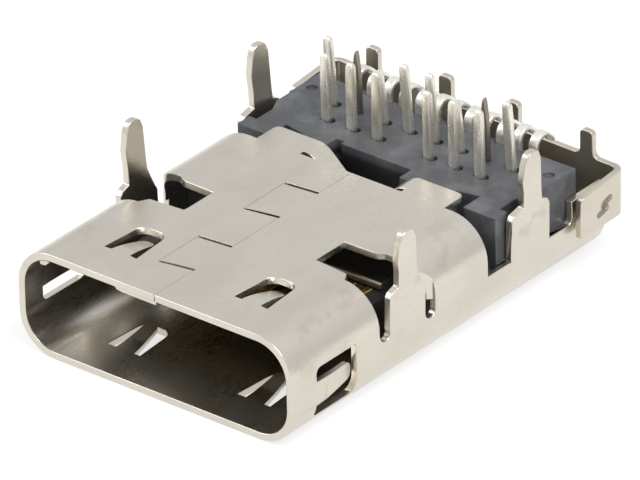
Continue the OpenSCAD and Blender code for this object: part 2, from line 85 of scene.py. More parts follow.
class Value:
    """A node's output that adds a Math node for each operation made on it."""

    def __init__(self, bench: "Bench", socket: bpy.types.NodeSocket) -> None:
        """Keeps the output and the bench that it is on."""
        self.bench = bench
        self.socket = socket

    def _math(self, operation: str, first: Any, second: Any = 0.0) -> "Value":
        """Adds one Math node on two numbers or values."""
        return self.bench.node("ShaderNodeMath", {"operation": operation}, {0: first, 1: second})

    def __add__(self, other: Any) -> "Value":
        """Sum."""
        return self._math("ADD", self, other)

    def __radd__(self, other: Any) -> "Value":
        """Sum with the number first."""
        return self._math("ADD", other, self)

    def __sub__(self, other: Any) -> "Value":
        """Difference."""
        return self._math("SUBTRACT", self, other)

    def __rsub__(self, other: Any) -> "Value":
        """Difference from a number."""
        return self._math("SUBTRACT", other, self)

    def __mul__(self, other: Any) -> "Value":
        """Product."""
        return self._math("MULTIPLY", self, other)

    def __rmul__(self, other: Any) -> "Value":
        """Product with the number first."""
        return self._math("MULTIPLY", other, self)

    def __truediv__(self, other: Any) -> "Value":
        """Quotient."""
        return self._math("DIVIDE", self, other)

    def __abs__(self) -> "Value":
        """Size without its sign."""
        return self._math("ABSOLUTE", self)

    def most(self, other: Any) -> "Value":
        """The larger of two values."""
        return self._math("MAXIMUM", self, other)

    def rise(self, low: float, high: float) -> "Value":
        """Smooth step from 0 at low to 1 at high.

        Args:
            low: where the step starts.
            high: where it ends; below low, the step falls.

        Returns:
            The stepped value.
        """
        turned = high < low
        ends = {1: min(low, high), 2: max(low, high), 3: 0.0, 4: 1.0}
        step = self.bench.node(
            "ShaderNodeMapRange", {"interpolation_type": "SMOOTHSTEP"}, {0: self, **ends}
        )
        return 1.0 - step if turned else step


class Bench:
    """A node tree under work."""

    def __init__(self, tree: bpy.types.NodeTree) -> None:
        """Takes a tree and empties it."""
        self.tree = tree
        self.tree.nodes.clear()
        self._place: Value | None = None

    def node(
        self,
        kind: str,
        settings: dict[str, Any] | None = None,
        sockets: dict[Any, Any] | None = None,
        output: int | str = 0,
    ) -> Value:
        """Adds one node.

        Args:
            kind: the node's type.
            settings: its own settings, set first; "stops" are a ramp's places and colours.
            sockets: numbers, colours or values for its inputs.
            output: which output is returned.

        Returns:
            The output as a value.
        """
        made = self.tree.nodes.new(kind)
        for key, setting in (settings or {}).items():
            if key == "stops":
                ramp = made.color_ramp
                while len(ramp.elements) < len(setting):
                    ramp.elements.new(1.0)
                for element, (place, colour) in zip(ramp.elements, setting):
                    element.position = place
                    element.color = (*colour, 1.0)
            else:
                setattr(made, key, setting)
        for key, value in (sockets or {}).items():
            self.feed(made.inputs[key], value)
        return Value(self, made.outputs[output])

    def feed(self, socket: bpy.types.NodeSocket, value: Any) -> None:
        """Links a value to an input, or writes a number or colour on it."""
        if isinstance(value, Value):
            self.tree.links.new(value.socket, socket)
        elif isinstance(value, tuple) and len(value) == 3 and socket.type == "RGBA":
            socket.default_value = (*value, 1.0)
        else:
            socket.default_value = value

    @property
    def place(self) -> Value:
        """Position on the piece in millimetres."""
        if self._place is None:
            coords = self.node("ShaderNodeTexCoord", output="Object")
            self._place = self.node(
                "ShaderNodeVectorMath", {"operation": "SCALE"}, {0: coords, 3: 1.0 / MM}
            )
        return self._place

    def axis(self, letter: str) -> Value:
        """One coordinate of the position in millimetres."""
        return self.node("ShaderNodeSeparateXYZ", sockets={0: self.place}, output=letter)

    def noise(
        self,
        scale: float,
        stretch: tuple[float, float, float] = (1.0, 1.0, 1.0),
        detail: float = 3.0,
        roughness: float = 0.5,
        offset: tuple[float, float, float] = (0.0, 0.0, 0.0),
    ) -> Value:
        """Cloudy noise.

        Args:
            scale: spots per millimetre.
            stretch: factor on each axis; a small one draws the spots out along it.
            detail: how many finer octaves are added.
            roughness: how strong those are.
            offset: shift in millimetres.

        Returns:
            The noise, about 0.2 to 0.8.
        """
        drawn = self.node(
            "ShaderNodeMapping", sockets={0: self.place, "Location": offset, "Scale": stretch}
        )
        return self.node(
            "ShaderNodeTexNoise",
            sockets={"Vector": drawn, "Scale": scale, "Detail": detail, "Roughness": roughness},
        )

    def blend(self, factor: Any, first: Any, second: Any) -> Value:
        """Colour between two colours."""
        return self.node(
            "ShaderNodeMix", {"data_type": "RGBA"}, {0: factor, 6: first, 7: second}, output=2
        )

    def bump(self, height: Value, depth: float, strength: float = 1.0) -> Value:
        """Relief from a height.

        Args:
            height: the height, 0 to 1.
            depth: millimetres from 0 to 1.
            strength: share of the effect.

        Returns:
            The turned normal.
        """
        return self.node(
            "ShaderNodeBump", sockets={"Height": height, "Distance": depth * MM, "Strength": strength}
        )


class MaterialBench(Bench):
    """A material under work: one Principled shader and the nodes that feed it."""

    def __init__(self, name: str) -> None:
        """Starts a material with a Principled shader."""
        self.material = bpy.data.materials.new(name)
        self.material.use_nodes = True
        super().__init__(self.material.node_tree)
        self.shader = self.tree.nodes.new("ShaderNodeBsdfPrincipled")
        self.output = self.tree.nodes.new("ShaderNodeOutputMaterial")
        self.tree.links.new(self.shader.outputs[0], self.output.inputs[0])

    def finish(self, **inputs: Any) -> bpy.types.Material:
        """Feeds the shader's inputs, named with _ for a space, and returns the material."""
        for key, value in inputs.items():
            self.feed(self.shader.inputs[key.replace("_", " ")], value)
        return self.material

    def show(self, surface: Value) -> None:
        """Puts another shader in place of the Principled one."""
        self.tree.links.new(surface.socket, self.output.inputs[0])


# ------------------------------------------------------------------ finishes


@dataclass(frozen=True)
class RolledNickel:
    """Nickel-plated sheet: a satin metal with rolling grain, cloudy plating and brown handling stains.

    Inside the tube it also darkens with the distance from the mouth: painted shade.
    """

    name: str
    tone: Colour
    stain: Colour
    roughness: float
    grain_along: str = "Y"
    stain_share: float = 0.25
    deep_shade: Colour | None = None

    def material(self) -> bpy.types.Material:
        """Builds the material."""
        b = MaterialBench(self.name)
        stretch = {"X": (0.08, 1.0, 1.0), "Y": (1.0, 0.08, 1.0), "Z": (1.0, 1.0, 0.08)}[self.grain_along]
        grain = b.noise(38.0, stretch, 2.0, 0.6)
        speck = b.noise(26.0, (1.0, 1.0, 1.0), 2.0, 0.7, (3.1, 1.7, 0.4))
        cloud = b.noise(0.55, (1.0, 0.6, 1.0), 4.0, 0.55)
        patches = b.noise(1.6, (1.0, 0.7, 1.0), 4.0, 0.65, (7.3, 2.2, 1.1))
        bend = abs(b.axis("X")).rise(2.9, 3.7) * abs(b.axis("Z") - 2.45).rise(0.75, 0.25)
        stains = patches.rise(0.52, 0.68) * (0.25 + bend * 0.75) * self.stain_share
        clouded = b.blend(cloud.rise(0.35, 0.68) * 0.5, self.tone, tuple(0.86 * c for c in self.tone))
        specked = b.blend(speck.rise(0.56, 0.74) * 0.08, clouded, tuple(0.68 * c for c in self.tone))
        colour = b.blend(stains, specked, self.stain)
        # painted shade: inside the tube the colour darkens from the mouth inwards
        if self.deep_shade is not None:
            colour = b.blend(b.axis("Y").rise(-6.6, -3.9), colour, self.deep_shade)
        rough = self.roughness + (grain - 0.5) * 0.16 + (cloud - 0.5) * 0.14 + stains * 0.12
        relief = grain * 0.6 + speck * 0.4
        return b.finish(
            Base_Color=colour, Metallic=1.0, Roughness=rough, Normal=b.bump(relief, 0.0007, 0.6)
        )


@dataclass(frozen=True)
class ShearedEdge:
    """Cut edge of plated sheet: a bright sheared band that turns to a rough, browner break."""

    name: str
    bright: Colour
    broken: Colour

    def material(self) -> bpy.types.Material:
        """Builds the material."""
        b = MaterialBench(self.name)
        tear = b.noise(9.0, (1.0, 1.0, 1.0), 3.0, 0.6)
        patches = b.noise(1.3, (1.0, 1.0, 1.0), 3.0, 0.6, (2.0, 5.0, 1.0))
        colour = b.blend(patches.rise(0.42, 0.66) * 0.4, self.bright, self.broken)
        rough = 0.34 + tear * 0.22
        return b.finish(Base_Color=colour, Metallic=0.55, Roughness=rough, Normal=b.bump(tear, 0.004, 0.6))


@dataclass(frozen=True)
class MouldedPlastic:
    """Glass-filled moulding: dark, slightly shiny, with fibre marks, paler scuffs and painted shade in its
    top recess.
    """

    name: str
    tone: Colour
    scuff: Colour
    roughness: float

    def material(self) -> bpy.types.Material:
        """Builds the material."""
        b = MaterialBench(self.name)
        fibre = b.noise(20.0, (1.0, 0.25, 1.0), 3.0, 0.6)
        cloud = b.noise(1.1, (1.0, 1.0, 1.0), 4.0, 0.6, (1.0, 4.0, 2.0))
        colour = b.blend(cloud.rise(0.40, 0.72) * 0.6, self.tone, self.scuff)
        # painted shade: near black within about 1.9 mm of the middle and below about 2.5 mm up, the
        # insulator's top recess; on the tongue it darkens the middle strip as well
        hollow_shade = abs(b.axis("X")).rise(1.98, 1.80) * b.axis("Z").rise(2.62, 2.40)
        colour = b.blend(hollow_shade * 0.85, colour, tuple(0.12 * c for c in self.tone))
        rough = self.roughness + (fibre - 0.5) * 0.22 + (cloud - 0.5) * 0.12
        return b.finish(Base_Color=colour, Roughness=rough, Normal=b.bump(fibre, 0.006, 0.7))


@dataclass(frozen=True)
class PlatedWire:
    """Tin or gold over copper: soft bright metal with dull patches."""

    name: str
    tone: Colour
    dull: Colour
    roughness: float
    shaded_gold: Colour | None = None

    def material(self) -> bpy.types.Material:
        """Builds the material. With shaded gold, the part ahead of the insulator takes a gold tone darkened
        as painted shade.
        """
        b = MaterialBench(self.name)
        fine = b.noise(24.0, (1.0, 1.0, 0.3), 3.0, 0.6)
        patch = b.noise(2.2, (1.0, 1.0, 0.6), 3.0, 0.6, (0.7, 2.0, 5.0))
        colour = b.blend(patch.rise(0.40, 0.66) * 0.4, self.tone, self.dull)
        # gold plating ahead of the insulator, darkened as painted shade inside the mouth
        if self.shaded_gold is not None:
            colour = b.blend(b.axis("Y").rise(1.0, -0.4), colour, self.shaded_gold)
        rough = self.roughness + (fine - 0.5) * 0.2 + (patch - 0.5) * 0.14
        return b.finish(Base_Color=colour, Metallic=0.85, Roughness=rough, Normal=b.bump(fine, 0.0015, 0.6))


class Finish(Enum):
    """The finishes that the socket's pieces are made in."""

    SHELL = RolledNickel("nickel_shell", linear(217, 211, 198), linear(160, 138, 108), 0.30)
    COVER = RolledNickel("nickel_cover", linear(212, 205, 190), linear(146, 124, 98), 0.33, "X", 0.25)
    # A darker, browner copy of the shell's nickel for the tube's inner faces: painted shade
    INSIDE = RolledNickel(
        "painted_shade_inside", linear(172, 158, 132), linear(96, 80, 58), 0.36, "Y", 0.3, linear(64, 51, 34)
    )
    # A darker, browner copy of the cover's nickel for its faces towards the insulator and its dimples'
    # floors: painted shade
    SHADED = RolledNickel("shaded_cover", linear(96, 86, 66), linear(62, 50, 34), 0.4, "X", 0.3)
    EDGE = ShearedEdge("sheared_edge", linear(238, 232, 220), linear(196, 174, 142))
    PLATE = RolledNickel("bare_plate", linear(150, 143, 130), linear(110, 94, 74), 0.36)
    INSULATOR = MouldedPlastic("dark_moulding", linear(68, 69, 72), linear(108, 109, 112), 0.46)
    TONGUE = MouldedPlastic("tongue_moulding", linear(44, 42, 41), linear(60, 58, 56), 0.42)
    # the pins' and tails' last colour is their gold, darkened as painted shade
    PIN = PlatedWire("tinned_pin", linear(234, 230, 220), linear(200, 192, 177), 0.30, linear(98, 78, 44))
    TAIL = PlatedWire("tinned_tail", linear(238, 236, 229), linear(208, 202, 190), 0.28, linear(98, 78, 44))

    def material(self) -> bpy.types.Material:
        """The finish's material, made once."""
        return bpy.data.materials.get(self.value.name) or self.value.material()


# ------------------------------------------------------------------ surfaces


def mesh_object(name: str, points: np.ndarray, faces: list[tuple[int, ...]]) -> bpy.types.Object:
    """Makes a smooth-shaded object at the origin.

    Args:
        name: the piece's name.
        points: its vertices in metres, one row each.
        faces: its faces as vertex numbers.

    Returns:
        The object, linked to the scene.
    """
    mesh = bpy.data.meshes.new(name)
    mesh.from_pydata(points.tolist(), [], faces)
    mesh.validate()
    mesh.update()
    mesh.shade_smooth()
    made = bpy.data.objects.new(name, mesh)
    bpy.context.scene.collection.objects.link(made)
    return made


def rounded_profile(width: float, thickness: float, corner: float, steps: int = 5) -> np.ndarray:
    """Outline of a bar: a rectangle whose four corners are quarter circles.

    Each corner's points are its centre plus the corner radius times (cosine, sine) of an angle that
    runs through a quarter turn.

    Args:
        width: full width.
        thickness: full thickness.
        corner: corner radius.
        steps: points on each corner.

    Returns:
        Points as rows of (across, through), counter-clockwise.
    """
    quarter = np.linspace(0.0, math.pi / 2, steps)
    turns = np.arange(4)[:, None] * math.pi / 2 + quarter[None, :]
    signs = np.array([[1, 1], [-1, 1], [-1, -1], [1, -1]])
    centres = signs * np.array([width / 2 - corner, thickness / 2 - corner])
    ring = corner * np.stack([np.cos(turns), np.sin(turns)], axis=-1)
    return (centres[:, None, :] + ring).reshape(-1, 2)


def carried_bar(
    path: np.ndarray, profile: np.ndarray, widths: np.ndarray, depths: np.ndarray
) -> tuple[np.ndarray, list[tuple[int, ...]]]:
    """A profile carried along a path that stays upright across X.

    Station i of the surface is path[i] + X * across * widths[i] + n * through * depths[i], where n is
    the path's tangent, without its X part, turned a quarter turn about X.

    Args:
        path: stations as rows of (x, y, z).
        profile: outline as rows of (across, through).
        widths: scale of the outline across, one for each station.
        depths: scale of the outline through, one for each station.

    Returns:
        Vertices and faces; both ends are closed.
    """
    tangent = np.gradient(path, axis=0)
    flat = np.hypot(tangent[:, 1], tangent[:, 2])
    normal = np.stack([np.zeros(len(path)), -tangent[:, 2] / flat, tangent[:, 1] / flat], axis=1)
    side = np.array([1.0, 0.0, 0.0])
    across = profile[None, :, 0, None] * widths[:, None, None] * side
    through = profile[None, :, 1, None] * depths[:, None, None] * normal[:, None, :]
    points = (path[:, None, :] + across + through).reshape(-1, 3)
    rows, columns = len(path), len(profile)
    i, j = np.meshgrid(np.arange(rows - 1), np.arange(columns), indexing="ij")
    k = (j + 1) % columns
    quads = np.stack([i * columns + j, (i + 1) * columns + j, (i + 1) * columns + k, i * columns + k], -1)
    faces = [tuple(q) for q in quads.reshape(-1, 4).tolist()]
    faces.append(tuple(range(columns)))
    faces.append(tuple(reversed(range((rows - 1) * columns, rows * columns))))
    return points, faces


def smooth_path(corners: np.ndarray, radius: np.ndarray, steps: int = 8) -> np.ndarray:
    """Rounds the corners of a path.

    Each inner corner becomes a quadratic curve from the point at its radius before it to the point at
    its radius after it: (1-t)^2 a + 2t(1-t) c + t^2 b.

    Args:
        corners: rows of (x, y, z).
        radius: how far from each corner its curve starts; the first and last are ignored.
        steps: points on each curve.

    Returns:
        The rounded path.
    """
    t = np.linspace(0.0, 1.0, steps)[:, None]
    parts = [corners[:1]]
    for before, corner, after, r in zip(corners, corners[1:], corners[2:], radius[1:-1]):
        a = corner + (before - corner) / np.linalg.norm(before - corner) * r
        b = corner + (after - corner) / np.linalg.norm(after - corner) * r
        parts.append((1 - t) ** 2 * a + 2 * t * (1 - t) * corner + t**2 * b)
    parts.append(corners[-1:])
    return np.vstack(parts)


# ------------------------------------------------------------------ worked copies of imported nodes


@dataclass
class WorkedNode:
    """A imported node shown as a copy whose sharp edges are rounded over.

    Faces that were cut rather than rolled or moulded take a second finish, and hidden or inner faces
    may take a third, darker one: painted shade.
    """

    node: str
    slot: str
    finish: Finish
    edge: float = 0.02
    cut_finish: Finish | None = None
    shade_finish: Finish | None = None
    sharpest_fold: float = 28.0
    level_fold: float = 0.4
    merge_share: float = 0.4

    def cut_faces(self, centres: np.ndarray, normals: np.ndarray) -> np.ndarray:
        """Tells which faces were cut.

        Args:
            centres: face centres in millimetres.
            normals: face normals.

        Returns:
            True for each cut face; here, none.
        """
        return np.zeros(len(centres), bool)

    def shaded_faces(self, centres: np.ndarray, normals: np.ndarray) -> np.ndarray:
        """Tells which faces take the third finish, a darker one that paints shade.

        Args:
            centres: face centres in millimetres.
            normals: face normals.

        Returns:
            True for each inner face; here, none.
        """
        return np.zeros(len(centres), bool)

    def spared(self, edge: bmesh.types.BMEdge) -> bool:
        """Tells whether a sharp edge is left unrounded; here, none is."""
        return False

    def shape_normals(
        self, centres: np.ndarray, normals: np.ndarray, corners: np.ndarray
    ) -> Normals | None:
        """Exact normals where a node knows its own form; here, none.

        Args:
            centres: face centres in millimetres.
            normals: face normals.
            corners: vertices in millimetres.

        Returns:
            Which faces lie on a known form, which way each faces, and the form's normal at each corner.
        """
        return None

    def shade(self, mesh: bpy.types.Mesh) -> None:
        """Smooths the mesh.

        Each corner's normal is the sum of its faces' normals times their areas, so flat faces stay flat.
        A corner of a face on a known form takes the form's own normal.

        Args:
            mesh: the worked mesh.
        """
        mesh.shade_smooth()
        count, corner_count = len(mesh.polygons), len(mesh.vertices)
        centres, normals, areas = np.empty(count * 3), np.empty(count * 3), np.empty(count)
        corners, links = np.empty(corner_count * 3), np.empty(len(mesh.loops), np.int32)
        starts, totals = np.empty(count, np.int32), np.empty(count, np.int32)
        mesh.polygons.foreach_get("center", centres)
        mesh.polygons.foreach_get("normal", normals)
        mesh.polygons.foreach_get("area", areas)
        mesh.polygons.foreach_get("loop_start", starts)
        mesh.polygons.foreach_get("loop_total", totals)
        mesh.vertices.foreach_get("co", corners)
        mesh.loops.foreach_get("vertex_index", links)
        centres, normals, corners = (a.reshape(-1, 3) for a in (centres / MM, normals, corners / MM))
        owner = np.repeat(np.arange(count)[np.argsort(starts)], totals[np.argsort(starts)])
        smooth = np.zeros((corner_count, 3))
        np.add.at(smooth, links, (normals * areas[:, None])[owner])
        known = self.shape_normals(centres, normals, corners)
        if known is not None:
            on_form, facing, exact = known
            used = on_form[owner]
            smooth[links[used]] = exact[links[used]] * facing[owner[used], None]
        length = np.linalg.norm(smooth, axis=1, keepdims=True)
        smooth = np.where(length > 0, smooth / np.maximum(length, 1e-20), [0.0, 0.0, 1.0])
        mesh.normals_split_custom_set_from_vertices(smooth.tolist())

    def sort_faces(self, work: bmesh.types.BMesh) -> None:
        """Gives every face its finish's number.

        Args:
            work: the merged form.
        """
        centres = np.array([face.calc_center_median() for face in work.faces]) / MM
        normals = np.array([face.normal for face in work.faces])
        # finish 2 is the darker one that paints shade
        number = self.shaded_faces(centres, normals) * 2
        number[self.cut_faces(centres, normals)] = 1
        for face, finish in zip(work.faces, number.tolist()):
            face.material_index = finish

    def round_edges(self, work: bmesh.types.BMesh) -> None:
        """Rounds the sharp edges, and puts back on the form any corner that left it.

        Args:
            work: the merged form.
        """
        form = BVHTree.FromBMesh(work)
        limit = math.radians(self.sharpest_fold)
        width = self.edge * MM
        sharp = [
            edge for edge in work.edges
            if edge.is_manifold and edge.calc_face_angle() > limit and not self.spared(edge)
        ]
        bmesh.ops.bevel(
            work, geom=sharp, offset=width, offset_type="OFFSET", segments=2, profile=0.5,
            affect="EDGES", clamp_overlap=False,
        )
        for corner in work.verts:
            place, _, _, distance = form.find_nearest(corner.co)
            if distance > 0.45 * width:
                corner.co = place

    def build(self) -> bpy.types.Object:
        """Copies the node, merges its triangles, rounds its edges and dresses it.

        Returns:
            The piece, which replaces the node.
        """
        source = bpy.data.objects[self.node]
        mesh = source.data.copy()
        mesh.name = f"worked_{self.node}"
        work = bmesh.new()
        work.from_mesh(mesh)
        bmesh.ops.remove_doubles(work, verts=work.verts, dist=self.merge_share * self.edge * MM)
        bmesh.ops.dissolve_limit(
            work, angle_limit=math.radians(self.level_fold), verts=work.verts, edges=work.edges,
            delimit=set(),
        )
        self.sort_faces(work)
        self.round_edges(work)
        work.to_mesh(mesh)
        work.free()
        mesh.materials.clear()
        for finish in (self.finish, self.cut_finish, self.shade_finish):
            if finish is not None:
                mesh.materials.append(finish.material())
        self.shade(mesh)
        made = bpy.data.objects.new(f"{self.node}_worked", mesh)
        bpy.context.scene.collection.objects.link(made)
        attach(made, "root")
        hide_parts(self.node)
        return made


@dataclass
class ShellStamping(WorkedNode):
    """The stamped shell, with sheared edges at its mouth, windows, slots, legs and seam."""

    half_width: float = 4.37
    height: float = 2.96
    bend: float = 1.1
    sheet: float = 0.2
    seam_runs: tuple[float, float] = (0.04, -0.96)

    def spared(self, edge: bmesh.types.BMEdge) -> bool:
        """The seam's long runs, which close to a hairline."""
        first, second = (corner.co / MM for corner in edge.verts)
        along = abs(first.y - second.y) > 0.1 and abs(first.x - second.x) < 0.01
        near = min(abs(first.x - run) for run in self.seam_runs) < 0.03
        return along and near and min(first.z, second.z) > self.height - 1.1 * self.sheet

    def shape_normals(
        self, centres: np.ndarray, normals: np.ndarray, corners: np.ndarray
    ) -> Normals | None:
        """The tube's normals: straight out from the nearest flat, or from the axis of the nearest bend.

        Args:
            centres: face centres in millimetres.
            normals: face normals.
            corners: vertices in millimetres.

        Returns:
            Which faces lie on the tube, which way each faces, and the tube's normal at each corner.
        """
        depth = self.depth_in_wall(centres)
        facing = (normals * self.outwards(centres)).sum(axis=1)
        skin = (np.minimum(np.abs(depth), np.abs(depth - self.sheet)) < 0.03) & (np.abs(facing) > 0.97)
        return skin, np.sign(facing), self.outwards(corners)

    def outwards(self, points: np.ndarray) -> np.ndarray:
        """Unit directions out of the tube.

        Args:
            points: points in millimetres, one row each.

        Returns:
            One direction for each point, square to the tube's length.
        """
        across = points[:, [0, 2]] - [0.0, self.height / 2]
        past = np.abs(across) - [self.half_width - self.bend, self.height / 2 - self.bend]
        past = np.maximum(past, 0.0) + 1e-9
        past = past / np.linalg.norm(past, axis=1, keepdims=True) * np.sign(across)
        return np.stack([past[:, 0], np.zeros(len(points)), past[:, 1]], axis=1)

    def depth_in_wall(self, centres: np.ndarray) -> np.ndarray:
        """Depth below the tube's outer surface.

        The tube is a rounded rectangle, so the depth is the bend radius minus the length of the
        part of the offset that lies beyond the corner's centre, on each axis.

        Args:
            centres: points in millimetres.

        Returns:
            The depth in millimetres, negative outside.
        """
        out = np.abs(centres[:, [0, 2]] - [0.0, self.height / 2])
        out -= [self.half_width - self.bend, self.height / 2 - self.bend]
        inside = np.minimum(out.max(axis=1), 0.0)
        return self.bend - (np.linalg.norm(np.maximum(out, 0.0), axis=1) + inside)

    def cut_faces(self, centres: np.ndarray, normals: np.ndarray) -> np.ndarray:
        """Faces between the sheet's two sides, and the edges of the legs and strips."""
        depth = self.depth_in_wall(centres)
        skin = np.minimum(np.abs(depth), np.abs(depth - self.sheet)) < 0.02
        skin &= np.abs(normals[:, 1]) < 0.3
        leg = (np.abs(centres[:, 0]) > 4.1) & (np.abs(normals[:, 0]) > 0.9)
        inner = (depth > self.sheet + 0.02) & (np.abs(normals[:, 1]) < 0.9) & (np.abs(normals[:, 0]) < 0.9)
        return ~(skin | leg | inner)

    def shaded_faces(self, centres: np.ndarray, normals: np.ndarray) -> np.ndarray:
        """Faces on the tube's inner surface and behind it, and the legs' inner faces; all take painted
        shade.
        """
        middle = np.array([0.0, self.height / 2])
        inwards = ((centres[:, [0, 2]] - middle) * normals[:, [0, 2]]).sum(axis=1) < 0
        return inwards & (self.depth_in_wall(centres) > 0.1)


@dataclass
class RearCover(WorkedNode):
    """The rear cover, with sheared edges on its rim, tabs and wing fronts, and painted shade in its dimples.
    """

    dimple_y: tuple[float, float] = (5.15, 6.0)
    dimple_z: tuple[float, float] = (1.3, 1.95)

    def spared(self, edge: bmesh.types.BMEdge) -> bool:
        """The dimples' rims, which lie too close together to be rounded."""
        return all(
            abs(corner.co.x) / MM > 4.4
            and self.dimple_y[0] < corner.co.y / MM < self.dimple_y[1]
            and self.dimple_z[0] < corner.co.z / MM < self.dimple_z[1]
            for corner in edge.verts
        )

    def cut_faces(self, centres: np.ndarray, normals: np.ndarray) -> np.ndarray:
        """Faces that look up, down or forwards at the wings, and the tabs' sides."""
        upright = (np.abs(normals[:, 2]) > 0.4) & (np.abs(normals[:, 0]) < 0.9)
        wing_front = (normals[:, 1] < -0.9) & (centres[:, 1] < 4.9)
        tab_side = (np.abs(normals[:, 0]) > 0.5) & (centres[:, 2] > 2.44) & (np.abs(centres[:, 0]) < 4.0)
        return upright | wing_front | tab_side

    def shaded_faces(self, centres: np.ndarray, normals: np.ndarray) -> np.ndarray:
        """Faces that look at the insulator, apart from the wings' fronts, and the dimples' floors; all take
        painted shade.
        """
        outwards = normals[:, 0] * np.sign(centres[:, 0])
        out = np.abs(centres[:, 0])
        wall = (normals[:, 1] < -0.5) & (centres[:, 1] > 4.9)
        return wall | ((outwards < -0.5) & (out > 4.4)) | ((outwards > 0.9) & (out > 4.5) & (out < 4.64))


# ------------------------------------------------------------------ contacts


@dataclass
class ContactBar:
    """Sizes that all the contacts share, in millimetres."""

    width: float = 0.27
    thickness: float = 0.15
    corner: float = 0.05
    blade_front: float = -3.77
    pitch: float = 0.5

    def dress(
        self, node: str, path: np.ndarray, widths: np.ndarray, depths: np.ndarray, finish: Finish
    ) -> None:
        """Carries the section along a path and puts the bar in the node's place.

        Args:
            node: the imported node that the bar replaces.
            path: stations in millimetres.
            widths: scale across at each station.
            depths: scale through at each station.
            finish: the bar's finish.
        """
        profile = rounded_profile(self.width, self.thickness, self.corner)
        points, faces = carried_bar(path, profile, widths, depths)
        made = mesh_object(f"{node}_bar", points * MM, faces)
        made.data.materials.append(finish.material())
        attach(made, "root")
        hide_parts(node)


def rounded_end(path: np.ndarray, length: float, steps: int = 6) -> tuple[np.ndarray, np.ndarray]:
    """Adds stations that close a bar with a rounded end.

    The added stations lie at length * sin(u) past the last one, and their scale is cos(u), for u from
    0 to just under a quarter turn.

    Args:
        path: the bar's stations, which end where the rounding starts.
        length: length of the rounding.
        steps: stations added.

    Returns:
        The longer path and the scale at every station.
    """
    u = np.linspace(0.0, math.pi / 2 * 0.94, steps + 1)[1:, None]
    ahead = path[-1] - path[-2]
    ahead = ahead / np.linalg.norm(ahead)
    longer = np.vstack([path, path[-1] + ahead * length * np.sin(u)])
    scale = np.concatenate([np.ones(len(path)), np.cos(u[:, 0])])
    return longer, scale


@dataclass
class ThroughHolePins(ContactBar):
    """Twelve contacts that fan out behind the tongue and turn up into two rows of pins."""

    pin_pitch: float = 0.82
    first_row: float = 3.36
    row_gap: float = 0.75
    lean: float = 0.1
    board_face: float = 2.74
    blade_z: float = 1.775
    top: float = 4.62
    fan: tuple[float, float] = (0.78, 1.98)
    plan: tuple[tuple[float, float, int, float], ...] = (
        (5.5, 3.5, 1, 0.0), (4.5, 3.0, 0, 0.0), (3.5, 2.0, 0, 0.0),
        (2.5, 1.5, 1, 0.5), (1.5, 1.0, 0, 0.0), (0.5, 0.5, 1, 0.0),
    )

    def build(self) -> None:
        """Makes the twelve contacts."""
        for number in range(1, 13):
            side = -1 if number <= 6 else 1
            blade, pin, row, drop = self.plan[number - 1 if number <= 6 else 12 - number]
            x0, x1 = side * blade * self.pitch, side * pin * self.pin_pitch
            y1, top = self.first_row + row * self.row_gap, self.top - drop
            corners = np.array([
                [x0, self.blade_front, self.blade_z], [x0, self.fan[0], self.blade_z],
                [x1, self.fan[1], self.blade_z], [x1, y1, self.blade_z], [x1, y1, self.board_face],
                [x1 - row * self.lean, y1, top - 0.14],
            ])
            path = smooth_path(corners, np.array([0, 0.15, 0.15, 0.22, 0.05, 0]))
            upper = np.linspace(0.0, 1.0, 7)[1:, None]
            path = np.vstack([path[:-1], path[-2] + (path[-1] - path[-2]) * upper])
            path, scale = rounded_end(path, 0.14)
            waist = 1.0 - 0.16 * np.clip((path[:, 2] - (top - 0.5)) / 0.5, 0, 1)
            thick = 1.0 + 0.2 * np.clip((path[:, 2] - 2.2) / 0.4, 0, 1)
            self.dress(f"pin_contact_{number}", path, scale * waist, scale * thick, Finish.PIN)
            LOG.info("pin contact %d at x %.2f mm", number, x1)


@dataclass
class SurfaceMountTails(ContactBar):
    """Twelve contacts whose tails rise behind the insulator and bend over to the rear."""

    blade_z: float = 1.185
    tail_pitch: float = 0.52
    fan: tuple[float, float] = (0.78, 1.98)
    tail_y: float = 4.95
    top: float = 3.28
    bend: float = 0.35
    slope: float = 42.0
    end: float = 0.34

    def build(self) -> None:
        """Makes the twelve contacts. The bend's stations lie on a circle about its centre."""
        mid = self.bend - self.thickness / 2
        centre_y, centre_z = self.tail_y + self.bend, self.top - self.bend
        turn = np.radians(np.linspace(180.0, 90.0 - self.slope, 18))
        arc = np.stack([np.zeros(18), centre_y + mid * np.cos(turn), centre_z + mid * np.sin(turn)], 1)
        fall = math.radians(self.slope)
        tip = arc[-1] + (self.end - 0.08) * np.array([0.0, math.cos(fall), -math.sin(fall)])
        upright = self.tail_y + self.thickness / 2
        for number in range(1, 13):
            x0, x1 = (number - 6.5) * self.pitch, (number - 6.5) * self.tail_pitch
            start = np.array([
                [x0, self.blade_front, self.blade_z], [x0, self.fan[0], self.blade_z],
                [x1, self.fan[1], self.blade_z], [x1, upright, self.blade_z], [x1, upright, centre_z - 0.02],
            ])
            low = smooth_path(start, np.array([0, 0.15, 0.15, 0.18, 0]))
            bend = np.vstack([arc, tip]) + np.array([x1, 0.0, 0.0])
            path, scale = rounded_end(np.vstack([low, bend]), 0.08)
            self.dress(f"smt_contact_{number}", path, 0.9 + 0.1 * scale, scale, Finish.TAIL)
            LOG.info("surface-mount contact %d at x %.2f mm", number, x1)


# ------------------------------------------------------------------ studio


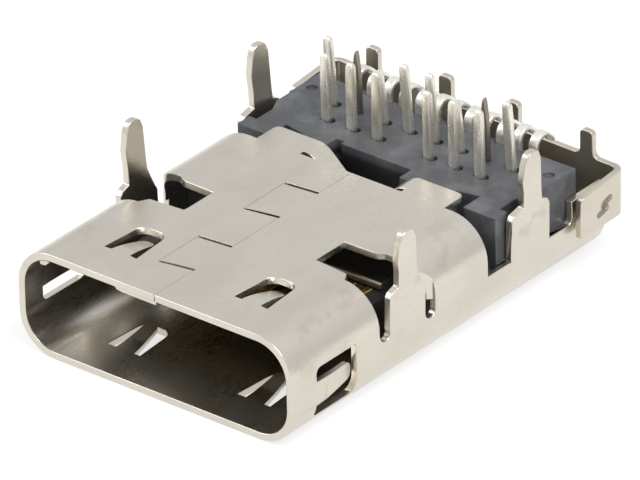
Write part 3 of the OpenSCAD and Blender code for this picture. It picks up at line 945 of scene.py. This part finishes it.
@dataclass
class Studio:
    """A pale floor, soft lamps and the camera."""

    azimuth: float = 39.80
    elevation: float = 29.36
    roll: float = -1.50
    distance: float = 299.27
    lens: float = 678.5
    shift: tuple[float, float] = (0.91, 0.64)
    target: tuple[float, float, float] = (0.0, -1.42, 1.5)
    floor_tone: Colour = (0.93, 0.93, 0.93)
    floor_white: float = 0.72

    def camera(self) -> None:
        """Sets the camera on its bearing, at its distance, with its roll."""
        a, e, r = (math.radians(v) for v in (self.azimuth, self.elevation, self.roll))
        back = Vector((math.sin(a) * math.cos(e), -math.cos(a) * math.cos(e), math.sin(e)))
        right = Vector((math.cos(a), math.sin(a), 0.0))
        up = Vector((-math.sin(e) * math.sin(a), math.sin(e) * math.cos(a), math.cos(e)))
        turned_right = right * math.cos(r) + up * math.sin(r)
        turned_up = up * math.cos(r) - right * math.sin(r)
        data = bpy.data.cameras.new("view")
        data.lens = self.lens
        data.sensor_width = 36.0
        data.clip_start, data.clip_end = 0.01, 10.0
        made = bpy.data.objects.new("view", data)
        bpy.context.scene.collection.objects.link(made)
        place = Vector(self.target) + turned_right * self.shift[0] + turned_up * self.shift[1]
        place += back * self.distance
        axes = Matrix((turned_right, turned_up, back)).transposed().to_4x4()
        made.matrix_world = Matrix.Translation(place * MM) @ axes
        bpy.context.scene.camera = made

    def floor(self) -> None:
        """A wide pale disc under the part, nearly white to the camera, where its shadow stays faint."""
        turn = np.linspace(0.0, 2 * math.pi, 97)[:-1]
        rim = np.stack([np.cos(turn), np.sin(turn), np.zeros(96)], 1) * 0.6
        made = mesh_object("floor", rim, [tuple(range(96))])
        b = MaterialBench("pale_floor")
        b.finish(Base_Color=self.floor_tone, Roughness=0.9)
        white = b.node("ShaderNodeEmission", sockets={"Color": (1.0, 1.0, 1.0), "Strength": 1.0})
        camera, glossy, through = (
            b.node("ShaderNodeLightPath", output=f"Is {ray} Ray")
            for ray in ("Camera", "Glossy", "Transmission")
        )
        share = camera.most(glossy).most(through) * self.floor_white
        pale = Value(b, b.shader.outputs[0])
        b.show(b.node("ShaderNodeMixShader", sockets={0: share, 1: pale, 2: white}))
        made.data.materials.append(b.material)

    def lamp(
        self, name: str, at: tuple[float, float, float], size: float, watts: float, tone: Colour
    ) -> None:
        """Adds a soft square lamp that points at the part.

        Args:
            name: its name.
            at: its place in metres.
            size: its side in metres.
            watts: its power.
            tone: its colour.
        """
        data = bpy.data.lights.new(name, "AREA")
        data.shape, data.size, data.energy, data.color = "SQUARE", size, watts, tone
        made = bpy.data.objects.new(name, data)
        bpy.context.scene.collection.objects.link(made)
        made.location = at
        made.rotation_mode = "QUATERNION"
        made.rotation_quaternion = (-Vector(at)).to_track_quat("-Z", "Y")

    def world(self) -> None:
        """A soft surround, brighter above than at the sides."""
        world = bpy.data.worlds.new("surround")
        bpy.context.scene.world = world
        world.use_nodes = True
        b = Bench(world.node_tree)
        around = b.node("ShaderNodeTexCoord", output="Generated")
        height = b.node("ShaderNodeSeparateXYZ", sockets={0: around}, output="Z")
        stops = [(0.0, (0.80, 0.80, 0.80)), (0.9, (0.97, 0.99, 1.05))]
        tone = b.node("ShaderNodeValToRGB", {"stops": stops}, {0: height})
        back = b.node("ShaderNodeBackground", sockets={"Color": tone, "Strength": 0.9})
        out = b.tree.nodes.new("ShaderNodeOutputWorld")
        b.tree.links.new(back.socket, out.inputs[0])

    def build(self) -> None:
        """Sets the whole studio."""
        self.camera()
        self.floor()
        self.world()
        self.lamp("key", (0.25, -0.05, 0.42), 0.22, 1.6, (1.0, 0.98, 0.95))
        self.lamp("fill", (-0.40, -0.25, 0.30), 0.30, 1.0, (0.97, 0.98, 1.0))
        bpy.context.scene.view_settings.view_transform = "Standard"


# ------------------------------------------------------------------ the socket


def main() -> None:
    """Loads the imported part, dresses its pieces and sets the studio."""
    logging.basicConfig(level=logging.INFO, format="%(name)s: %(message)s")
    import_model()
    pieces = [
        ShellStamping("shell", "shell_metal", Finish.SHELL, 0.025, Finish.EDGE, Finish.INSIDE),
        RearCover("rear_cover", "cover_metal", Finish.COVER, 0.025, Finish.EDGE, Finish.SHADED),
        WorkedNode("housing", "insulator", Finish.INSULATOR, 0.03),
        WorkedNode("tongue", "tongue_plastic", Finish.TONGUE, 0.02),
        WorkedNode("mid_plate", "plate_metal", Finish.PLATE, 0.015),
        WorkedNode("ground_pad_board_side", "plate_metal", Finish.PLATE, 0.01),
        WorkedNode("ground_pad_back_side", "plate_metal", Finish.PLATE, 0.01),
    ]
    for piece in pieces:
        made = piece.build()
        LOG.info("%s: %d faces", made.name, len(made.data.polygons))
    ThroughHolePins().build()
    SurfaceMountTails().build()
    Studio().build()


if __name__ == "__main__":
    main()
